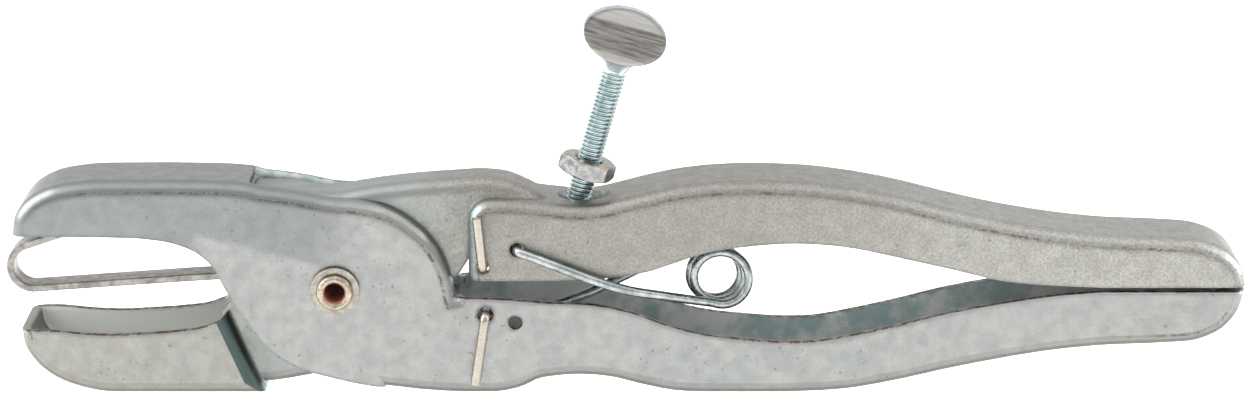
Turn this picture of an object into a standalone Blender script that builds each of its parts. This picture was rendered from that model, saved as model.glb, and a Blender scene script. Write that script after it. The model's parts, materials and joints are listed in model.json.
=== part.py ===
"""A plier-type welding ground clamp pressed from steel sheet, modelled in metres with +Z up.

Two channel-shaped levers cross at a hollow rivet. The outer lever is the upper jaw and the lower
handle; the inner lever is the lower jaw and the upper handle. Its neck is pressed narrow, so that
it passes between the outer lever's plates and out through a slot in its back. A torsion spring
pulls the handles together, a bent strip carries the current, and a thumb screw holds the cable lug.

Side-view shapes are given in millimetres as (X, Z) from the rivet's axis, with X towards the
handles. Y is the rivet's axis, and the clamp is symmetric about Y = 0 apart from its spring.
"""

import math

import bmesh
import bpy
from mathutils import Matrix, Vector

MM = 0.001

# Driving dimensions, in millimetres
SHEET = 1.5  # thickness of the pressed steel
BEND = 2.4  # outer radius where a flange turns into the web
HALF_WIDTH = 8.5  # from the middle plane to the outside of a flange
NECK_HALF_WIDTH = 5.2  # the same, where the inner lever is pressed narrow
GAP = 0.3  # clearance between pieces that touch
FLUSH = 0.02  # how much thinner the second of two flush solids is, so that they join cleanly
PIVOT_X = -53.59  # the rivet's axis in the part's own frame
PIVOT_Z = 20.5
STAND_Z = -PIVOT_Z  # the surface that the clamp stands on, from the rivet's axis
CUT_PAST = 3.4  # how far a cutter runs past the surface that it opens
FLATNESS = 0.035  # how far a chord may leave its smooth line

RIVET_R = 2.6
RIVET_WALL = 0.7
LIP_R = 0.75  # of the rolled lip's round section
LIP_START = -25  # degrees, where the lip's section leaves the washer side
PIN_HOLE_R = RIVET_R + GAP
SPACER_R = 6.0
RIVET_WASHER_R = 4.6
RIVET_WASHER_T = 0.6
SLEEVE_R = 3.8

STRIP_T = 1.35
STRIP_WIDTH = 5.0
STRIP_LOOP = (-56.7, 2.7)
STRIP_LOOP_R = 4.25

WIRE_R = 0.9
WIRE_BEND = 1.2  # middle radius of the bends at the wire's hooks
COIL_R = 4.95
COIL_CENTRE = (71.1, 0.4)
COIL_SKEW = -0.33  # how far a turn sits along X for each millimetre along Y
COIL_PITCH = 2.05
COIL_START = -112  # degrees, where the leg that hooks the upper handle meets the coil
COIL_END = 824  # degrees, where the leg that hooks the lower handle leaves it

SCREW_R = 2.3
SCREW_LEAN = math.radians(15.8)
LEAN_AXIS = (44.0, 12.2)  # the middle of the washer under the web, where the screw leans
SHANK_BOTTOM = -4.5
SHANK_TOP = 28.8
HEAD_CENTRE = 35.5
HEAD_HALF = (7.95, 5.55)  # across the screw and along it
HEAD_T = 2.4
NUT_FLATS = 9.5
NUT_T = 3.2
NUT_BOTTOM = 8.1
NUT_TURN = math.radians(10)
WASHER_R = 4.2
WASHER_T = 1.5
SLOT_X = (41.2, 50.8)
SLOT_WIDTH = 5.6

# Side-view lines. A back is where the sheet turns into the web, and an edge is where it is cut.
OUTER_BACK = [
    (-59.6, 10.3), (-59.1, 13.4), (-57.1, 16.4), (-53.0, 19.0), (-47.0, 20.3), (-38.0, 20.6),
    (-27.0, 20.6), (-18.5, 20.3), (-15.8, 20.0), (-13.8, 19.4), (-10.5, 19.0), (-5.0, 18.1),
    (-1.4, 17.3), (4.6, 16.8), (10.3, 15.3), (14.2, 13.0), (17.3, 10.2), (19.5, 7.2),
    (20.9, 4.0), (21.7, 1.2), (22.2, -1.6),
]
OUTER_HANDLE_EDGE = [
    (22.2, -1.6), (30.0, -1.8), (40.0, -2.6), (48.0, -3.0), (55.3, -4.6), (61.0, -6.8),
    (68.5, -8.8), (76.0, -9.7), (84.0, -10.2), (89.5, -10.0), (95.6, -8.9), (104.5, -6.9),
    (113.8, -4.5), (123.0, -2.7), (133.5, -1.1), (142.0, -0.4),
]
OUTER_HANDLE_BACK = [
    (9.0, -19.2), (16.7, -20.1), (26.0, STAND_Z), (31.0, -20.3), (34.8, -19.3), (37.6, -17.9),
    (41.0, -17.3), (51.0, -17.5), (56.5, -18.9), (62.9, -20.2), (68.0, STAND_Z),
    (83.0, STAND_Z), (95.3, -19.8), (104.5, -18.1), (113.8, -15.9), (123.0, -14.0),
    (132.3, -12.4), (141.5, -11.4), (154.0, -10.8), (160.5, -10.1), (165.2, -7.6),
    (167.8, -3.9), (168.6, -0.4),
]
OUTER_DISC_EDGE = [
    (9.0, -19.1), (2.8, -18.0), (-2.6, -16.6), (-6.3, -15.6), (-9.9, -13.7), (-12.6, -11.6),
    (-15.9, -7.1), (-18.6, -2.9),
]
OUTER_JAW_EDGE = [
    (-18.6, -2.9), (-20.6, 0.6), (-22.4, 4.3), (-25.4, 7.2), (-29.6, 9.0), (-35.0, 9.9),
    (-42.0, 10.2), (-59.6, 10.3),
]
INNER_HANDLE_FRONT = 24.7  # where the upper handle's flanges begin
SHOULDER_Z = 17.0  # the top of the handle's front corner, and its radius
SHOULDER_R = 4.2
INNER_HANDLE_BACK = [
    (29.5, 17.0), (34.0, 16.9), (39.8, 16.2), (44.4, 15.8), (48.0, 15.9), (53.7, 17.2),
    (58.3, 18.4), (63.5, 19.5), (72.0, 20.4), (81.0, 20.5), (87.0, 20.2), (95.3, 19.2),
    (104.5, 17.4), (113.8, 15.0), (123.0, 12.9), (132.3, 11.3), (141.5, 10.2), (154.0, 9.6),
    (160.8, 8.9), (165.5, 6.7), (168.1, 3.5), (168.8, 0.5),
]
INNER_HANDLE_EDGE = [
    (142.0, 0.5), (133.0, 0.9), (123.0, 1.9), (113.8, 4.1), (104.5, 6.2), (95.3, 8.2),
    (86.0, 9.0), (76.8, 8.5), (67.5, 6.9), (62.9, 5.3), (58.3, 3.7), (52.0, 2.5), (44.0, 2.0),
    (24.7, 1.8),
]
NECK_BACK = [
    (-15.1, 18.4), (-8.0, 18.2), (-3.0, 17.4), (1.1, 17.5), (4.5, 18.2), (12.0, 19.3),
    (21.3, 20.1), (28.0, 20.4), (31.5, 20.0), (35.5, 18.4), (39.5, 16.1), (43.0, 13.6),
]
NECK_BOTTOM = [(-3.0, -17.7), (-6.5, -18.4), (-11.0, -19.2), (-16.0, -19.7), (-22.0, -19.9)]
NECK_DISC_R = 13.5
INNER_JAW_BACK = [
    (-58.6, -8.0), (-58.2, -11.0), (-56.0, -14.7), (-52.4, -17.6), (-48.0, -19.4),
    (-43.0, -20.4), (-41.0, STAND_Z),
]
INNER_JAW_END = [(-13.6, STAND_Z), (-20.4, -4.4)]
INNER_JAW_EDGE = [
    (-22.0, -6.3), (-25.0, -7.4), (-30.0, -8.1), (-35.5, -8.5), (-41.0, -8.8), (-47.0, -8.6),
    (-53.0, -8.0), (-58.6, -8.0),
]

# Middle lines of the contact strip, and of the spring's legs as (X, Y, Z)
STRIP_RUN = [(-4.6, 2.75), (-7.5, 1.9), (-12.0, 1.4), (-22.0, 0.9), (-40.0, -0.3), (-56.5, -1.5)]
STRIP_LEG = [(-50.0, 9.5), (-40.0, 13.5), (-31.0, 17.1), (-26.5, 18.0), (-20.5, 17.8)]
WIRE_OUT = -(HALF_WIDTH + GAP + WIRE_R)
WIRE_IN = -(HALF_WIDTH - SHEET - GAP - WIRE_R)
UPPER_HOLES = [(27.4, 4.3, 1.15), (33.7, 7.8, 1.35)]
LOWER_HOLES = [(27.8, -4.7, 1.5), (33.3, -6.3, 1.35)]
UPPER_LEG = [
    (37.0, WIRE_OUT, 6.6), (42.1, WIRE_OUT, 4.6), (47.7, WIRE_OUT, 2.4), (53.4, -9.1, 0.4),
    (61.0, -6.2, -1.8), (66.0, -4.1, -3.2),
]
LOWER_LEG = [
    (62.0, 2.2, 3.6), (54.0, 0.3, 0.4), (45.0, -3.0, -3.0), (37.0, -5.5, -4.7), (32.5, WIRE_IN, -4.9),
]


# ---------------------------------------------------------------- lines

def smooth(points, floor=None):
    """A smooth line through the points, none of it under the floor."""
    points = [Vector(p) for p in points]
    lengths = [(b - a).length for a, b in zip(points, points[1:])]
    headings = [(b - a) / length for a, b, length in zip(points, points[1:], lengths)]
    slopes = [headings[0]]
    for i in range(1, len(headings)):
        before, after = lengths[i - 1], lengths[i]
        slopes.append((headings[i - 1] * after + headings[i] * before) / (before + after))
    slopes.append(headings[-1])
    line = []
    for i, length in enumerate(lengths):
        steps = max(2, round(length / 0.4))
        line += [hermite(points[i], points[i + 1], slopes[i] * length, slopes[i + 1] * length,
                         step / steps) for step in range(steps)]
    line.append(points[-1])
    if floor is not None:
        line = [Vector((p.x, max(p.y, floor))) for p in line]
    return thinned(line)


def hermite(a, b, slope_a, slope_b, t):
    """The point at t of the cubic that leaves a with one slope and reaches b with the other."""
    return ((2 * t ** 3 - 3 * t ** 2 + 1) * a + (t ** 3 - 2 * t ** 2 + t) * slope_a
            + (3 * t ** 2 - 2 * t ** 3) * b + (t ** 3 - t ** 2) * slope_b)


def thinned(line):
    """The line without the points that lie within FLATNESS of the chord past them."""
    if len(line) < 3:
        return line
    chord = line[-1] - line[0]
    if chord.length < 1e-6:
        far = max(range(len(line)), key=lambda i: (line[i] - line[0]).length)
        return thinned(line[:far + 1])[:-1] + thinned(line[far:])
    away = [0.0 if p in (line[0], line[-1]) else off_chord(p, line[0], chord) for p in line]
    worst = max(range(len(line)), key=away.__getitem__)
    if away[worst] <= FLATNESS:
        return [line[0], line[-1]]
    return thinned(line[:worst + 1])[:-1] + thinned(line[worst:])


def off_chord(point, start, chord):
    """The point's distance from the chord."""
    along = (point - start).dot(chord) / chord.length_squared
    return (point - start - along * chord).length


def beside(line, distance):
    """The line moved sideways, to its right as it runs."""
    moved = []
    for i, p in enumerate(line):
        ahead = line[min(i + 1, len(line) - 1)] - line[max(i - 1, 0)]
        moved.append(p + distance * Vector((ahead.y, -ahead.x)).normalized())
    return moved


def arc(centre, radius, start, end, steps):
    """Points on a circle, with angles in degrees from +X towards +Z."""
    found = []
    for i in range(steps + 1):
        a = math.radians(start + (end - start) * i / steps)
        found.append(Vector((centre[0] + radius * math.cos(a), centre[1] + radius * math.sin(a))))
    return found


def rounded(points, radius, steps=4):
    """The line through the points in space, with its corners rounded."""
    points = [Vector(p) for p in points]
    line = [points[0]]
    for before, corner, after in zip(points, points[1:], points[2:]):
        back = (before - corner).normalized()
        ahead = (after - corner).normalized()
        half = back.angle(ahead) / 2
        centre = corner + (back + ahead).normalized() * radius / math.sin(half)
        start = corner + back * radius / math.tan(half) - centre
        turn = (math.pi - 2 * half) / steps
        axis = ahead.cross(back)
        line += [centre + Matrix.Rotation(turn * i, 3, axis) @ start for i in range(steps + 1)]
    return line + [points[-1]]


# ---------------------------------------------------------------- Blender objects

def collection(name):
    made = bpy.data.collections.new(name)
    bpy.context.scene.collection.children.link(made)
    return made


def steel(name, color, roughness, metallic=1.0):
    """A plain Principled material."""
    made = bpy.data.materials.new(name)
    made.use_nodes = True
    shader = made.node_tree.nodes["Principled BSDF"]
    shader.inputs["Base Color"].default_value = (*color, 1.0)
    shader.inputs["Roughness"].default_value = roughness
    shader.inputs["Metallic"].default_value = metallic
    return made


def placed(obj, into, parent=None):
    into.objects.link(obj)
    obj.parent = parent
    return obj


def from_curve(curve, name, world):
    """The curve as a welded mesh in a new object, and the curve removed."""
    bpy.context.scene.collection.objects.link(curve)
    curve.matrix_world = world
    bpy.context.view_layer.update()
    evaluated = curve.evaluated_get(bpy.context.evaluated_depsgraph_get())
    mesh = bpy.data.meshes.new_from_object(evaluated)
    data = curve.data
    bpy.data.objects.remove(curve)
    bpy.data.curves.remove(data)
    mesh.transform(world)
    welded = bmesh.new()
    welded.from_mesh(mesh)
    bmesh.ops.remove_doubles(welded, verts=welded.verts, dist=1e-6)
    welded.to_mesh(mesh)
    welded.free()
    mesh.name = name
    return bpy.data.objects.new(name, mesh)


def sideways():
    """The side view's frame: a flat curve's X and Y become X and Z, and it is thick along Y."""
    return Matrix.Rotation(math.radians(90), 4, "X")


def slab(name, outline, half_thickness, rounding=0.0, detail=2, frame=sideways()):
    """The outline as a solid of this half thickness, with its long edges rounded."""
    curve = bpy.data.curves.new(name, "CURVE")
    curve.dimensions = "2D"
    curve.fill_mode = "BOTH"
    spline = curve.splines.new("POLY")
    spline.points.add(len(outline) - 1)
    for point, (x, z) in zip(spline.points, outline):
        point.co = (x * MM, z * MM, 0, 1)
    spline.use_cyclic_u = True
    curve.extrude = (half_thickness - rounding) * MM
    if rounding:
        curve.bevel_depth = rounding * MM
        curve.bevel_resolution = detail
        curve.offset = -rounding * MM
    return from_curve(bpy.data.objects.new(name, curve), name, frame)


def boolean(obj, cutter, operation):
    made = obj.modifiers.new(f"{operation.lower()} {cutter.name}", "BOOLEAN")
    made.operation = operation
    made.object = cutter
    made.solver = "EXACT"
    cutter.hide_render = True
    cutter.display_type = "WIRE"


def baked(obj):
    """The object with its modifiers turned into mesh."""
    bpy.context.view_layer.update()
    evaluated = obj.evaluated_get(bpy.context.evaluated_depsgraph_get())
    mesh = bpy.data.meshes.new_from_object(evaluated)
    obj.modifiers.clear()
    obj.data = mesh
    return obj


def drill(name, x, z, radius, into, y_from=-12.0, y_to=12.0, sides=24):
    """A round cutter along Y."""
    bpy.ops.mesh.primitive_cylinder_add(
        vertices=sides, radius=radius * MM, depth=(y_to - y_from) * MM,
        location=(x * MM, (y_from + y_to) / 2 * MM, z * MM), rotation=(math.radians(90), 0, 0))
    cutter = bpy.context.object
    cutter.name = name
    for held in list(cutter.users_collection):
        held.objects.unlink(cutter)
    return placed(cutter, into)


def block(name, low, high, into):
    """A box cutter between two corners, in millimetres."""
    size = [(b - a) * MM for a, b in zip(low, high)]
    middle = [(a + b) / 2 * MM for a, b in zip(low, high)]
    bpy.ops.mesh.primitive_cube_add(size=1, location=middle, scale=size)
    cutter = bpy.context.object
    cutter.name = name
    for held in list(cutter.users_collection):
        held.objects.unlink(cutter)
    return placed(cutter, into)


def turned(name, profile, sides=32):
    """A solid turned about the local Z axis, from a closed outline of (radius, height) points."""
    mesh = bpy.data.meshes.new(name)
    points = [(r * MM, 0, h * MM) for r, h in profile]
    mesh.from_pydata(points, [(i, (i + 1) % len(points)) for i in range(len(points))], [])
    obj = bpy.data.objects.new(name, mesh)
    bpy.context.scene.collection.objects.link(obj)
    screw = obj.modifiers.new("turn", "SCREW")
    screw.steps = sides
    screw.render_steps = sides
    baked(obj)
    bpy.context.scene.collection.objects.unlink(obj)
    welded = bmesh.new()
    welded.from_mesh(obj.data)
    bmesh.ops.remove_doubles(welded, verts=welded.verts, dist=1e-6)
    bmesh.ops.dissolve_degenerate(welded, edges=welded.edges, dist=1e-7)
    bmesh.ops.recalc_face_normals(welded, faces=welded.faces)
    welded.to_mesh(obj.data)
    welded.free()
    return obj


def ring(name, inner, outer, low, high, sides=32):
    return turned(name, [(inner, low), (outer, low), (outer, high), (inner, high)], sides)


def wire(name, points, radius):
    """A round wire along the points."""
    curve = bpy.data.curves.new(name, "CURVE")
    curve.dimensions = "3D"
    curve.bevel_depth = radius * MM
    curve.bevel_resolution = 2
    curve.use_fill_caps = True
    spline = curve.splines.new("POLY")
    spline.points.add(len(points) - 1)
    for point, co in zip(spline.points, points):
        point.co = (*(Vector(co) * MM), 1)
    return from_curve(bpy.data.objects.new(name, curve), name, Matrix.Identity(4))


def finish(obj, material):
    """Gives the piece its material and smooth shading with sharp edges."""
    obj.data.materials.clear()
    obj.data.materials.append(material)
    obj.data.shade_smooth()
    obj.data.set_sharp_from_angle(angle=math.radians(35))


# ---------------------------------------------------------------- the levers

def region(name, skin, side, half_width, cutters):
    """Part of a lever as a solid: a rounded slab cut to its side view."""
    body = slab(name, skin, half_width, BEND)
    boolean(body, placed(slab(name + "_side", side, half_width + 1), cutters), "INTERSECT")
    return placed(body, cutters)


def hollowed(name, regions, hollows, cutters):
    """A lever of bent sheet: its regions joined, and the space inside them taken away."""
    body = regions[0]
    for other in regions[1:]:
        boolean(body, other, "UNION")
    for hollow_name, outline, half_width in hollows:
        hollow = slab(hollow_name, outline, half_width - SHEET, BEND - SHEET, 1)
        boolean(body, placed(hollow, cutters), "DIFFERENCE")
    body.name = name
    return body


def outer_lever(cutters):
    """Upper jaw, round pivot plates and lower handle in one channel."""
    back = smooth(OUTER_BACK)
    handle_back = smooth(OUTER_HANDLE_BACK, STAND_Z)
    nose, notch = back[0], back[-1]
    web_start, tip = handle_back[0], handle_back[-1]

    jaw_skin = [nose - Vector((0, 6))] + back + [
        (23.0, -4.0), (24.0, -10.0), (20.0, -14.5), (web_start.x + 1, -15.0),
        (web_start.x, -24.0), (-14.0, -24.0), (-27.0, -10.0), (-27.0, 4.3)]
    jaw_side = smooth(OUTER_DISC_EDGE)[:-1] + smooth(OUTER_JAW_EDGE) + [
        (-66.0, nose.y), (-66.0, 28.0), (28.0, 28.0), (28.0, -14.5), (web_start.x, -14.5)]
    handle_skin = [(5.0, -10.0), (6.0, -3.0), (18.0, -1.8), notch + Vector((-0.2, 0.4)),
                   (22.8, CUT_PAST), (tip.x, CUT_PAST)] + handle_back[::-1] + [(5.0, -18.6)]
    handle_side = [(7.6, -1.0), (21.0, -1.5)] + smooth(OUTER_HANDLE_EDGE) + [
        (176.0, tip.y), (176.0, -28.0), (7.6, -28.0)]

    inside = beside(back, SHEET)
    jaw_hollow = [(inside[0].x, 2.0)] + inside + [
        (21.4, -4.5), (24.0, -10.0), (20.0, -13.5), (web_start.x + 1, -14.0),
        (web_start.x, -26.0), (-16.0, -26.0), (-29.0, -10.0), (-29.0, 2.0)]
    inside = beside(handle_back, -SHEET)
    handle_hollow = [(7.0, -10.0), (8.0, -5.0), (21.2, -3.6), (23.2, -3.0), (24.4, 6.0),
                     (inside[-1].x, 6.0)] + inside[::-1] + [(7.0, inside[0].y)]

    body = hollowed(
        "outer_lever",
        [region("outer_jaw", jaw_skin, jaw_side, HALF_WIDTH, cutters),
         region("outer_handle", handle_skin, handle_side, HALF_WIDTH - FLUSH, cutters)],
        [("outer_jaw_hollow", jaw_hollow, HALF_WIDTH),
         ("outer_handle_hollow", handle_hollow, HALF_WIDTH - FLUSH)],
        cutters)
    reach = NECK_HALF_WIDTH + GAP
    slot = block("neck_slot", (-15.7, -reach, -3.2), (26.0, reach, 26.0), cutters)
    boolean(body, slot, "DIFFERENCE")
    return drilled(body, LOWER_HOLES, cutters)


def inner_lever(cutters):
    """Lower jaw, narrow neck and upper handle in one channel."""
    front = INNER_HANDLE_FRONT
    corner = Vector((front + SHOULDER_R, SHOULDER_Z - SHOULDER_R))
    handle_back = arc(corner, SHOULDER_R, 180, 100, 7) + smooth(INNER_HANDLE_BACK)
    neck_back = smooth(NECK_BACK)
    neck_bottom = smooth(NECK_BOTTOM)
    jaw_back = smooth(INNER_JAW_BACK, STAND_Z)
    jaw_end = [Vector(p) for p in INNER_JAW_END]
    nose, tip = jaw_back[0], handle_back[-1]
    below = -CUT_PAST

    handle_skin = [(front, below)] + handle_back + [(tip.x, below)]
    handle_side = smooth(INNER_HANDLE_EDGE) + [
        (18.0, 1.8), (18.0, 28.0), (176.0, 28.0), (176.0, tip.y)]
    inside = beside(handle_back, SHEET)
    handle_hollow = [(inside[0].x, below - 2)] + inside + [(inside[-1].x, below - 2)]

    jaw_skin = jaw_back + jaw_end + [(-22.0, -1.6), (nose.x, -1.6)]
    jaw_side = [(-15.0, -0.6)] + smooth(INNER_JAW_EDGE) + [
        (-66.0, nose.y), (-66.0, -28.0), (-8.0, -28.0)]
    inside = beside(jaw_back, -SHEET)
    end_inside = beside(jaw_end, -SHEET)
    jaw_hollow = inside + [(end_inside[0].x - SHEET / 2, inside[-1].y), end_inside[1],
                           (-24.0, 0.4), (inside[0].x, 0.4)]

    neck_side = arc((0, 0), NECK_DISC_R, -25, -75, 8) + [
        (-2.2, -15.0), (-2.6, -28.0), (-32.0, -28.0), (-26.0, -10.0), jaw_end[1], (-16.5, -0.5),
        (-15.6, 8.0), (-15.1, 14.0), (-15.1, 28.0), (50.0, 28.0), (50.0, 10.5), (30.0, 10.5),
        (25.5, 7.5), (24.6, 5.0), (23.0, 2.4), (18.0, -1.5)]
    neck_skin = [neck_back[0] - Vector((4.5, 0.0))] + neck_back
    neck_skin += [(43.0, 4.0), (30.0, -1.6), (24.0, -1.6), (14.0, -14.0)]
    neck_skin += [neck_bottom[0] + Vector((4.5, 1.2))] + neck_bottom
    neck_skin += [(-25.0, -12.0), (-25.0, -2.0), (-19.5, 4.5)]
    top = beside(neck_back, SHEET)
    bottom = beside(neck_bottom, SHEET)
    neck_hollow = [top[0] - Vector((7.0, 0.0))] + top[:-1]
    neck_hollow += [(40.0, 2.0), (30.0, -3.4), (24.0, -3.4), (16.0, -14.0)]
    neck_hollow += [bottom[0] + Vector((7.0, 1.9))] + bottom
    neck_hollow += [(-27.0, -12.0), (-27.0, -0.4), (-22.0, 6.5)]

    body = hollowed(
        "inner_lever",
        [region("inner_neck", neck_skin, neck_side, NECK_HALF_WIDTH, cutters),
         region("inner_handle", handle_skin, handle_side, HALF_WIDTH, cutters),
         region("inner_jaw", jaw_skin, jaw_side, HALF_WIDTH, cutters)],
        [("inner_neck_hollow", neck_hollow, NECK_HALF_WIDTH),
         ("inner_handle_hollow", handle_hollow, HALF_WIDTH),
         ("inner_jaw_hollow", jaw_hollow, HALF_WIDTH)],
        cutters)
    half = SLOT_WIDTH / 2
    screw_slot = (arc((SLOT_X[1] - half, 0), half, -90, 90, 8)
                  + arc((SLOT_X[0] + half, 0), half, 90, 270, 8))
    level = Matrix.Translation((0, 0, SHOULDER_Z * MM))
    boolean(body, placed(slab("screw_slot", screw_slot, 5.0, frame=level), cutters), "DIFFERENCE")
    return drilled(body, UPPER_HOLES, cutters)


def drilled(body, holes, cutters):
    """The lever with its rivet hole, and the spring's holes in its front flange."""
    boolean(body, drill(body.name + "_rivet_hole", 0, 0, PIN_HOLE_R, cutters), "DIFFERENCE")
    for i, (x, z, radius) in enumerate(holes):
        hole = drill(f"{body.name}_spring_hole_{i}", x, z, radius, cutters, y_to=0.0)
        boolean(body, hole, "DIFFERENCE")
    return body


# ---------------------------------------------------------------- the rivet and its rings

def pivot_pieces():
    """The hollow rivet, its washers, and the rings that space the plates, turned about Z."""
    washer_top = HALF_WIDTH + GAP + RIVET_WASHER_T
    lip_z = washer_top + GAP - LIP_R * math.sin(math.radians(LIP_START))
    bore = RIVET_R - RIVET_WALL
    lip = arc((bore + LIP_R, lip_z), LIP_R, LIP_START, 180, 9)
    end = [Vector((RIVET_R, washer_top + GAP))] + lip
    pieces = [turned("pivot_rivet", end + [Vector((p.x, -p.y)) for p in reversed(end)])]
    pieces.append(ring("pivot_sleeve", PIN_HOLE_R, SLEEVE_R,
                       -(NECK_HALF_WIDTH - SHEET - GAP), NECK_HALF_WIDTH - SHEET - GAP))
    for side, word in ((1, "front"), (-1, "rear")):
        for name, radius, low, high in (
                ("pivot_spacer", SPACER_R, NECK_HALF_WIDTH + GAP, HALF_WIDTH - SHEET - GAP),
                ("rivet_washer", RIVET_WASHER_R, HALF_WIDTH + GAP, washer_top)):
            pieces.append(ring(f"{name}_{word}", PIN_HOLE_R, radius, side * low, side * high))
    for piece in pieces:
        piece.rotation_euler.x = math.radians(90)
    return pieces


# ---------------------------------------------------------------- strip and spring

def contact_strip():
    """A strip that runs round the sleeve, out between the jaws and back under the upper jaw."""
    eye = arc((0, 0), SLEEVE_R + GAP + STRIP_T / 2, -150, 125, 18)
    loop = arc(STRIP_LOOP, STRIP_LOOP_R, 267, 108, 12)
    middle = eye + smooth([eye[-1]] + STRIP_RUN)[1:-1] + loop + smooth([loop[-1]] + STRIP_LEG)[1:]
    outline = beside(middle, STRIP_T / 2) + beside(middle, -STRIP_T / 2)[::-1]
    return slab("contact_strip", outline, STRIP_WIDTH / 2, 0.2, 1)


def torsion_spring():
    """A coil whose legs cross: one hooks the upper handle's front flange, one the lower's."""
    turns = math.radians(COIL_END - COIL_START)
    count = round(turns / math.radians(15))
    width = COIL_PITCH * turns / (2 * math.pi)
    coil = []
    for i in range(count + 1):
        a = math.radians(COIL_START) + turns * i / count
        y = width * (i / count - 0.5)
        coil.append(Vector((COIL_CENTRE[0] + COIL_R * math.cos(a) + COIL_SKEW * y, y,
                            COIL_CENTRE[1] + COIL_R * math.sin(a))))
    (ax, az, _), (bx, bz, _) = UPPER_HOLES
    upper = rounded([(ax - 1.0, WIRE_OUT, 14.2), (ax, WIRE_OUT, az), (ax, WIRE_IN, az),
                     (bx, WIRE_IN, bz), (bx, WIRE_OUT, bz), UPPER_LEG[0]], WIRE_BEND)
    ax, az, _ = LOWER_HOLES[0]
    lower = rounded([LOWER_LEG[-1], (ax, WIRE_IN, az), (ax, WIRE_OUT, az),
                     (ax - 2.0, WIRE_OUT, -17.9)], WIRE_BEND)
    line = upper[:-1] + smooth(UPPER_LEG + [coil[0]])[:-1] + coil
    line += smooth([coil[-1]] + LOWER_LEG)[1:] + lower[1:]
    return wire("torsion_spring", line, WIRE_R)


# ---------------------------------------------------------------- the cable terminal

def terminal_pieces(cutters):
    """The thumb screw, its nut and the washer under the web, upright along Z."""
    shank = turned("thumb_screw", [
        (0, SHANK_BOTTOM), (SCREW_R - 0.5, SHANK_BOTTOM), (SCREW_R, SHANK_BOTTOM + 0.5),
        (SCREW_R, SHANK_TOP), (HEAD_T / 2 - 0.1, SHANK_TOP + 3.0), (0, SHANK_TOP + 3.0)], 24)
    oval = [Vector((HEAD_HALF[0] * p.x, HEAD_CENTRE + HEAD_HALF[1] * p.y))
            for p in arc((0, 0), 1, 0, 350, 35)]
    boolean(shank, placed(slab("screw_head", oval, HEAD_T / 2, 0.5, 1), cutters), "UNION")

    top = NUT_BOTTOM + NUT_T
    nut = turned("terminal_nut", [(0, NUT_BOTTOM), (NUT_FLATS / math.sqrt(3), NUT_BOTTOM),
                                  (NUT_FLATS / math.sqrt(3), top), (0, top)], 6)
    nut.data.transform(Matrix.Rotation(NUT_TURN, 4, "Z"))
    chamfer = turned("nut_chamfer", [
        (0, NUT_BOTTOM), (NUT_FLATS / 2, NUT_BOTTOM), (NUT_FLATS / 2 + 1, NUT_BOTTOM + 0.6),
        (NUT_FLATS / 2 + 1, top - 0.6), (NUT_FLATS / 2, top), (0, top)])
    bore = turned("nut_bore", [(0, NUT_BOTTOM - 1), (SCREW_R + GAP, NUT_BOTTOM - 1),
                               (SCREW_R + GAP, top + 1), (0, top + 1)], 24)
    boolean(nut, placed(chamfer, cutters), "INTERSECT")
    boolean(nut, placed(bore, cutters), "DIFFERENCE")
    washer = ring("terminal_washer", SCREW_R + GAP, WASHER_R, -WASHER_T / 2, WASHER_T / 2)
    return [placed(piece, cutters) for piece in (shank, nut, washer)]


# ---------------------------------------------------------------- the whole clamp

def add(made, clamp, parent, material):
    """Puts a finished piece in the clamp's collection."""
    for held in list(made.users_collection):
        held.objects.unlink(made)
    placed(made, clamp, parent)
    finish(made, material)


def axis_empty(name, x, z, clamp, parent=None):
    empty = placed(bpy.data.objects.new(name, None), clamp, parent)
    empty.location = (x * MM, 0, z * MM)
    return empty


def main():
    for obj in list(bpy.data.objects):
        bpy.data.objects.remove(obj)
    clamp = collection("ground_clamp")
    cutters = collection("cutters")
    pivot = axis_empty("pivot_axis", PIVOT_X, PIVOT_Z, clamp)
    terminal = axis_empty("terminal_axis", *LEAN_AXIS, clamp, pivot)
    terminal.rotation_euler.y = SCREW_LEAN

    bright = steel("bright_zinc_plate", (0.52, 0.53, 0.52), 0.34)
    grainy = steel("worn_zinc_plate", (0.47, 0.46, 0.43), 0.5)
    brass = steel("brass_plated_rivet", (0.55, 0.42, 0.27), 0.35)
    strip_steel = steel("strip_steel", (0.42, 0.41, 0.38), 0.4)
    wire_steel = steel("spring_wire", (0.5, 0.48, 0.45), 0.3)
    blue_zinc = steel("blue_zinc_thread", (0.5, 0.56, 0.56), 0.25)

    add(baked(outer_lever(cutters)), clamp, pivot, bright)
    add(baked(inner_lever(cutters)), clamp, pivot, grainy)
    for piece in pivot_pieces():
        add(piece, clamp, pivot, brass if piece.name == "pivot_rivet" else bright)
    add(contact_strip(), clamp, pivot, strip_steel)
    add(torsion_spring(), clamp, pivot, wire_steel)
    for piece in terminal_pieces(cutters):
        add(baked(piece), clamp, terminal, blue_zinc)


main()
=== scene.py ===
# The looks of a pressed-steel welding ground clamp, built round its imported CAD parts.
import json
import math

import bmesh
import bpy
from mathutils import Matrix, Vector

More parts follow.
